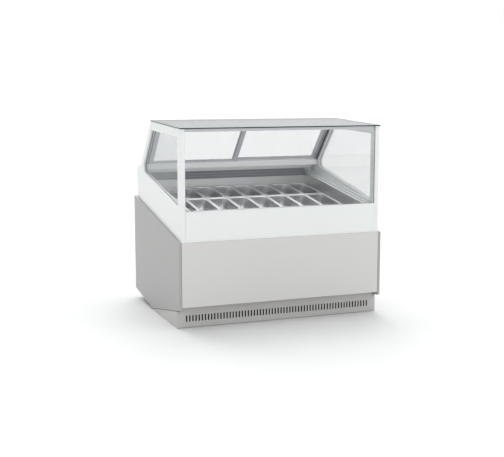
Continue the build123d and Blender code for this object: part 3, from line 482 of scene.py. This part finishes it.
def finish_cad_nodes():
    """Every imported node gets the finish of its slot, or its own."""
    for entry in frame["record"]["subparts"]:
        mesh = NODES[entry["node"]].data
        mesh.materials.clear()
        mesh.materials.append(NODE_FINISHES.get(entry["node"], FINISHES[entry["material_slot"]]))


# ==== Mesh helpers ================================================================================
SHARP = radians(32)


def at(depth):
    """World y of a depth in mm behind the front face."""
    return (depth - DEPTH / 2) * MM


def piece(name, bm, materials, body, place=None, replaces=None):
    """Turns a bmesh into a finished piece that rides on a body."""
    if place is not None:
        bmesh.ops.transform(bm, matrix=place, verts=bm.verts)
    bmesh.ops.recalc_face_normals(bm, faces=bm.faces)
    for edge in bm.edges:
        edge.smooth = len(edge.link_faces) == 2 and edge.calc_face_angle(pi) < SHARP
    for face in bm.faces:
        face.smooth = True
    mesh = bpy.data.meshes.new(name)
    bm.to_mesh(mesh)
    bm.free()
    for material in materials:
        mesh.materials.append(material)
    thing = bpy.data.objects.new(name, mesh)
    bpy.context.scene.collection.objects.link(thing)
    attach(thing, body)
    if replaces is not None:
        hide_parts(replaces)


def sideways(side, near, far):
    """Range in x between two distances from the middle, on the side given by -1 or 1."""
    return sorted((side * near, side * far))


def block(bm, x, y, z, bevel=0.4, material=0):
    """Adds a box in mm with rounded edges; each range is a pair of limits."""
    made = bmesh.ops.create_cube(bm, size=1)["verts"]
    size = Vector((x[1] - x[0], y[1] - y[0], z[1] - z[0])) * MM
    middle = Vector((x[0] + x[1], y[0] + y[1], z[0] + z[1])) * MM / 2
    bmesh.ops.scale(bm, vec=size, verts=made)
    bmesh.ops.translate(bm, vec=middle, verts=made)
    edges = list({edge for vert in made for edge in vert.link_edges})
    faces = {face for vert in made for face in vert.link_faces}
    if bevel:
        made = bmesh.ops.bevel(
            bm, geom=edges, offset=bevel * MM, segments=2, profile=0.5, affect="EDGES", material=-1
        )
        faces |= set(made["faces"])
    for face in faces:
        if face.is_valid:
            face.material_index = material


def ring(bm, width, length, radius, z, segments=6):
    """Closed loop of edges in mm: a rectangle with round corners in a level plane."""
    made = bmesh.ops.create_grid(bm, x_segments=1, y_segments=1, size=0.5 * MM)["verts"]
    bmesh.ops.scale(bm, vec=(width, length, 1), verts=made)
    bmesh.ops.translate(bm, vec=(0, 0, z * MM), verts=made)
    made = bmesh.ops.bevel(
        bm, geom=made, offset=radius * MM, segments=segments, profile=0.5, affect="VERTICES", material=-1
    )
    return list(made["verts"][0].link_faces[0].edges)


def skin(bm, loops, materials):
    """Skin between each ring and the next, and a floor across the first and the last."""
    bmesh.ops.delete(bm, geom=list(bm.faces), context="FACES_ONLY")
    for first, second, material in zip(loops, loops[1:], materials):
        for face in bmesh.ops.bridge_loops(bm, edges=first + second)["faces"]:
            face.material_index = material
    bmesh.ops.edgeloop_fill(bm, edges=loops[0])
    bmesh.ops.edgeloop_fill(bm, edges=loops[-1])


def turned(bm, profile, place, segments=20):
    """Solid of revolution about the local z axis from pairs of radius and height in mm."""
    verts = [bm.verts.new((radius * MM, 0, height * MM)) for radius, height in profile]
    edges = [bm.edges.new(pair) for pair in zip(verts, verts[1:])]
    before = set(bm.verts) - set(verts)
    bmesh.ops.spin(
        bm, geom=verts + edges, cent=(0, 0, 0), axis=(0, 0, 1), angle=2 * pi, steps=segments, use_merge=True
    )
    made = [vert for vert in bm.verts if vert not in before]
    bmesh.ops.remove_doubles(bm, verts=made, dist=1e-6)
    made = [vert for vert in bm.verts if vert not in before]
    bmesh.ops.transform(bm, matrix=place, verts=made)


# ==== Pans ========================================================================================
DECK_PLACE = Matrix.Translation((0, at(759), 0.829)) @ Matrix.Rotation(radians(DECK_TILT), 4, "X")
PAN_COLUMNS = 8
PAN_PITCH = 0.165
PAN_ROWS = {"front": -0.185, "rear": 0.185}
# Width, length, corner radius and height of each ring of a pan, from its underside over the rolled rim
# and down the inside to its floor. Neighbouring rings differ in height, so that each joins its own
# neighbour.
PAN_RINGS = (
    (106, 294, 16, -120.0),
    (122, 310, 24, -117.0),
    (130.5, 318.5, 28, -108.0),
    (131.2, 319.2, 28.4, -104.0),
    (141.8, 329.8, 33.9, -3.0),
    (142, 330, 34, -0.6),
    (144, 333, 33, -0.05),
    (161.4, 359.4, 8, 0.05),
    (162, 360, 8, 0.9),
    (162, 360, 8, 1.9),
    (161, 359, 8, 2.7),
    (159.5, 357.5, 7.5, 3.0),
    (158, 356, 7, 2.6),
    (157, 355, 7, 1.7),
    (155.5, 353.5, 7, 1.3),
    (145, 333, 35, 1.1),
    (141.5, 329.5, 34, 0.6),
    (139.8, 327.8, 33, -1.2),
    (139.3, 327.3, 33, -4.0),
    (129.3, 317.3, 27.3, -100.0),
    (129.0, 317.0, 27, -104.0),
    (126.5, 314.5, 26, -111.0),
    (120, 308, 22, -116.5),
    (105, 293, 16, -118.8),
)
# Which steel each skin between two rings has: 0 is the pan's, 1 is the rim's. They are one steel in two
# tones: lighter inside the pans, painted light in their hollows, and darker on the rims, painted shade over
# their glints.
PAN_SKINS = [0] * 5 + [1] * 11 + [0] * 7


def make_pans():
    for row, shift in PAN_ROWS.items():
        for column in range(PAN_COLUMNS):
            bm = bmesh.new()
            skin(bm, [ring(bm, *measures) for measures in PAN_RINGS], PAN_SKINS)
            x = (column - (PAN_COLUMNS - 1) / 2) * PAN_PITCH
            name = f"pan_{row}_{column + 1}"
            place = DECK_PLACE @ Matrix.Translation((x, shift, 0))
            piece("steel_" + name, bm, [PAN_STEEL_LIT_TONE, RIM_STEEL_SHADED_TONE], name, place, name)


# ==== Return air grille and stepped trims =========================================================
GRILLE_LOW = 945
GRILLE_HIGH = 1008
GRILLE_HALF = 664
GRILLE_FRONT = 1119 - DEPTH / 2
GRILLE_BACK = 1126 - DEPTH / 2
RIB_HALF = 3.5
EDGE_RIB_HALF = 1.5
FIN_COUNT = 84
FIN_START = -656
FIN_PITCH = 15.8
FIN_WIDTH = 2.4


def make_return_grille():
    """Dark air return over the steel back wall: a plate, pale ribs and fine upright fins."""
    bm = bmesh.new()
    wide = (-GRILLE_HALF, GRILLE_HALF)
    block(bm, wide, (GRILLE_BACK - 2, GRILLE_BACK), (GRILLE_LOW, GRILLE_HIGH))
    third = (GRILLE_HIGH - GRILLE_LOW) / 3
    ribs = [
        (GRILLE_LOW + 1.5, EDGE_RIB_HALF),
        (GRILLE_LOW + third, RIB_HALF),
        (GRILLE_LOW + 2 * third, RIB_HALF),
        (GRILLE_HIGH - 1.5, EDGE_RIB_HALF),
    ]
    for z, half in ribs:
        block(bm, wide, (GRILLE_FRONT, GRILLE_BACK - 1.5), (z - half, z + half), 0.8, 1)
    for index in range(FIN_COUNT):
        x = FIN_START + index * FIN_PITCH
        depth = (GRILLE_FRONT + 2.5, GRILLE_BACK - 1.5)
        block(bm, (x, x + FIN_WIDTH), depth, (GRILLE_LOW + 2, GRILLE_HIGH - 2), 0)
    finish = [FINISHES["louvre_plastic"], RIB_PLASTIC]
    piece("air_return", bm, finish, CABINET, replaces="return_grille")


TRIM_PLACE = Matrix.Translation((0, at(80), 0.851)) @ Matrix.Rotation(radians(DECK_TILT), 4, "X")
TRIM_OUTER = 726
TRIM_STEPS = 3
TRIM_TREAD = 19.2
TRIM_DROP = 12
TRIM_LOW = -42
TRIM_RUN = (-8, 1050)
SEAL_RUN = (-7, 1049)


def make_rim_trims():
    """Three white steps down to the pans on either side, each with a dark seal strip and a dark ridge,
    whose dark colour paints the shade lines between the steps.
    """
    bm = bmesh.new()
    for side in (-1, 1):
        for index in range(TRIM_STEPS):
            outer = TRIM_OUTER - index * TRIM_TREAD
            inner = outer - TRIM_TREAD
            top = -2 - TRIM_DROP * index
            block(bm, sideways(side, outer, inner), TRIM_RUN, (TRIM_LOW, top), 1.2)
            # Painted shade: a dark strip below each step's edge and a dark ridge on its tread.
            block(bm, sideways(side, inner - 0.8, inner + 2.4), SEAL_RUN, (top - 8, top - 2.5), 0.4, 1)
            block(bm, sideways(side, outer - 9, outer - 5), SEAL_RUN, (top - 1, top + 0.8), 0.4, 1)
    finish = [TRIM, DARK_SEAL_AND_SHADE]
    piece("stepped_trims", bm, finish, CABINET, TRIM_PLACE, "rim_trims")


# ==== Seals, cap and filter =======================================================================
REAR_PLACE = Matrix.Translation((0, at(764), 1.42482)) @ Matrix.Rotation(-radians(REAR_TILT), 4, "X")
SEAL_LENGTH = (50, 420)


def make_door_seals():
    """Dark brush seal along both sides of the doors' opening, inside the inner door."""
    bm = bmesh.new()
    for side in (-1, 1):
        block(bm, sideways(side, 713, 726.5), SEAL_LENGTH, (-40, -34), 1.5)
        block(bm, sideways(side, 717, 722), SEAL_LENGTH, (-42.5, -39), 1.0)
    piece("door_side_seals", bm, [DARK_SEAL_AND_SHADE], CABINET, REAR_PLACE)


CAP_HALF = 700
CAP_FRONT = 62.5 - DEPTH / 2
CAP_TOP = 788.7
CAP_SHEET = 1.2


def make_foam_cap():
    """Folded steel strip over the foam between the apron and the well."""
    bm = bmesh.new()
    wide = (-CAP_HALF, CAP_HALF)
    block(bm, wide, (CAP_FRONT, CAP_FRONT + 32.5), (CAP_TOP - CAP_SHEET, CAP_TOP), 0.4)
    block(bm, wide, (CAP_FRONT + 31, CAP_FRONT + 31 + CAP_SHEET), (776, CAP_TOP), 0.4)
    piece("foam_cap", bm, [FINISHES["stainless"]], CABINET)


FILTER_FRONT = 76 - DEPTH / 2
FILTER_LOW = 34
FILTER_HIGH = 100
FILTER_RAIL = 4


def make_filter():
    """Air filter close behind the plinth's slots, between two rails; its near-black, dull colour is painted
    shade inside the slots.
    """
    bm = bmesh.new()
    block(bm, (-722, 722), (FILTER_FRONT, FILTER_FRONT + 3), (FILTER_LOW, FILTER_HIGH), 0.6)
    for z in (FILTER_LOW, FILTER_HIGH - FILTER_RAIL):
        block(bm, (-724, 724), (FILTER_FRONT - 2, FILTER_FRONT + 6), (z, z + FILTER_RAIL), 0.8)
    piece("air_filter", bm, [FILTER], CABINET)


# ==== Screws and controls =========================================================================
TO_BACK = Matrix.Rotation(-pi / 2, 4, "X")
TO_FRONT = Matrix.Rotation(pi / 2, 4, "X")
# Places in x and z, depth, head radius, head height and direction of each group of screws.
SCREW_GROUPS = (
    ((-527, 0, 527), (182, 528), DEPTH - 0.5, 4.5, 0.5, TO_BACK),
    ((-745, 745), (110, 440, 770), DEPTH - 2, 4.5, 2, TO_BACK),
    ((-760, 760), (24, 108), 70, 4, 2, TO_FRONT),
)


def screw(bm, x, depth, z, radius, height, turn):
    """Domed head with a recess in its middle."""
    place = Matrix.Translation((x * MM, at(depth), z * MM)) @ turn
    dome = [(0, height * 0.2), (radius * 0.3, height * 0.2), (radius * 0.36, height)]
    dome += [(radius * 0.7, height * 0.88), (radius * 0.94, height * 0.5), (radius, 0), (0, 0)]
    turned(bm, dome, place, 18)


def make_screws():
    bm = bmesh.new()
    for places_x, places_z, depth, radius, height, turn in SCREW_GROUPS:
        for x in places_x:
            for z in places_z:
                screw(bm, x, depth, z, radius, height, turn)
    piece("screw_heads", bm, [FINISHES["screw_steel"]], CABINET, replaces="panel_screws")


PANEL_FACE = 1184 + 2.5 - DEPTH / 2
LAMP_DEPTH = 1188
LAMP_COUNT = 3
LAMP_PITCH = 18
LAMP_PROFILE = [(0, 0), (1.6, 0), (1.5, 0.5), (0.9, 0.9), (0, 1.0)]


def make_controls():
    """Glossy display window and a row of lamps beside it."""
    low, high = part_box("control_panel")
    x = 1000 * (low[0] + high[0]) / 2
    z = 1000 * (low[2] + high[2]) / 2
    bm = bmesh.new()
    block(bm, (x - 95.5, x - 16.5), (PANEL_FACE - 0.2, PANEL_FACE + 1.0), (z - 19.5, z + 19.5), 0.3)
    piece("display_window", bm, [DISPLAY], CABINET)
    bm = bmesh.new()
    for index in range(LAMP_COUNT):
        lamp_x = (x + 2 + LAMP_PITCH * index) * MM
        place = Matrix.Translation((lamp_x, at(LAMP_DEPTH), (z + 14) * MM)) @ TO_BACK
        turned(bm, LAMP_PROFILE, place, 12)
    piece("key_lamps", bm, [LED_GREEN], CABINET)


# ==== Studio and finishes =========================================================================
make_studio()
finish_cad_nodes()
make_pans()
make_return_grille()
make_rim_trims()
make_door_seals()
make_foam_cap()
make_filter()
make_screws()
make_controls()
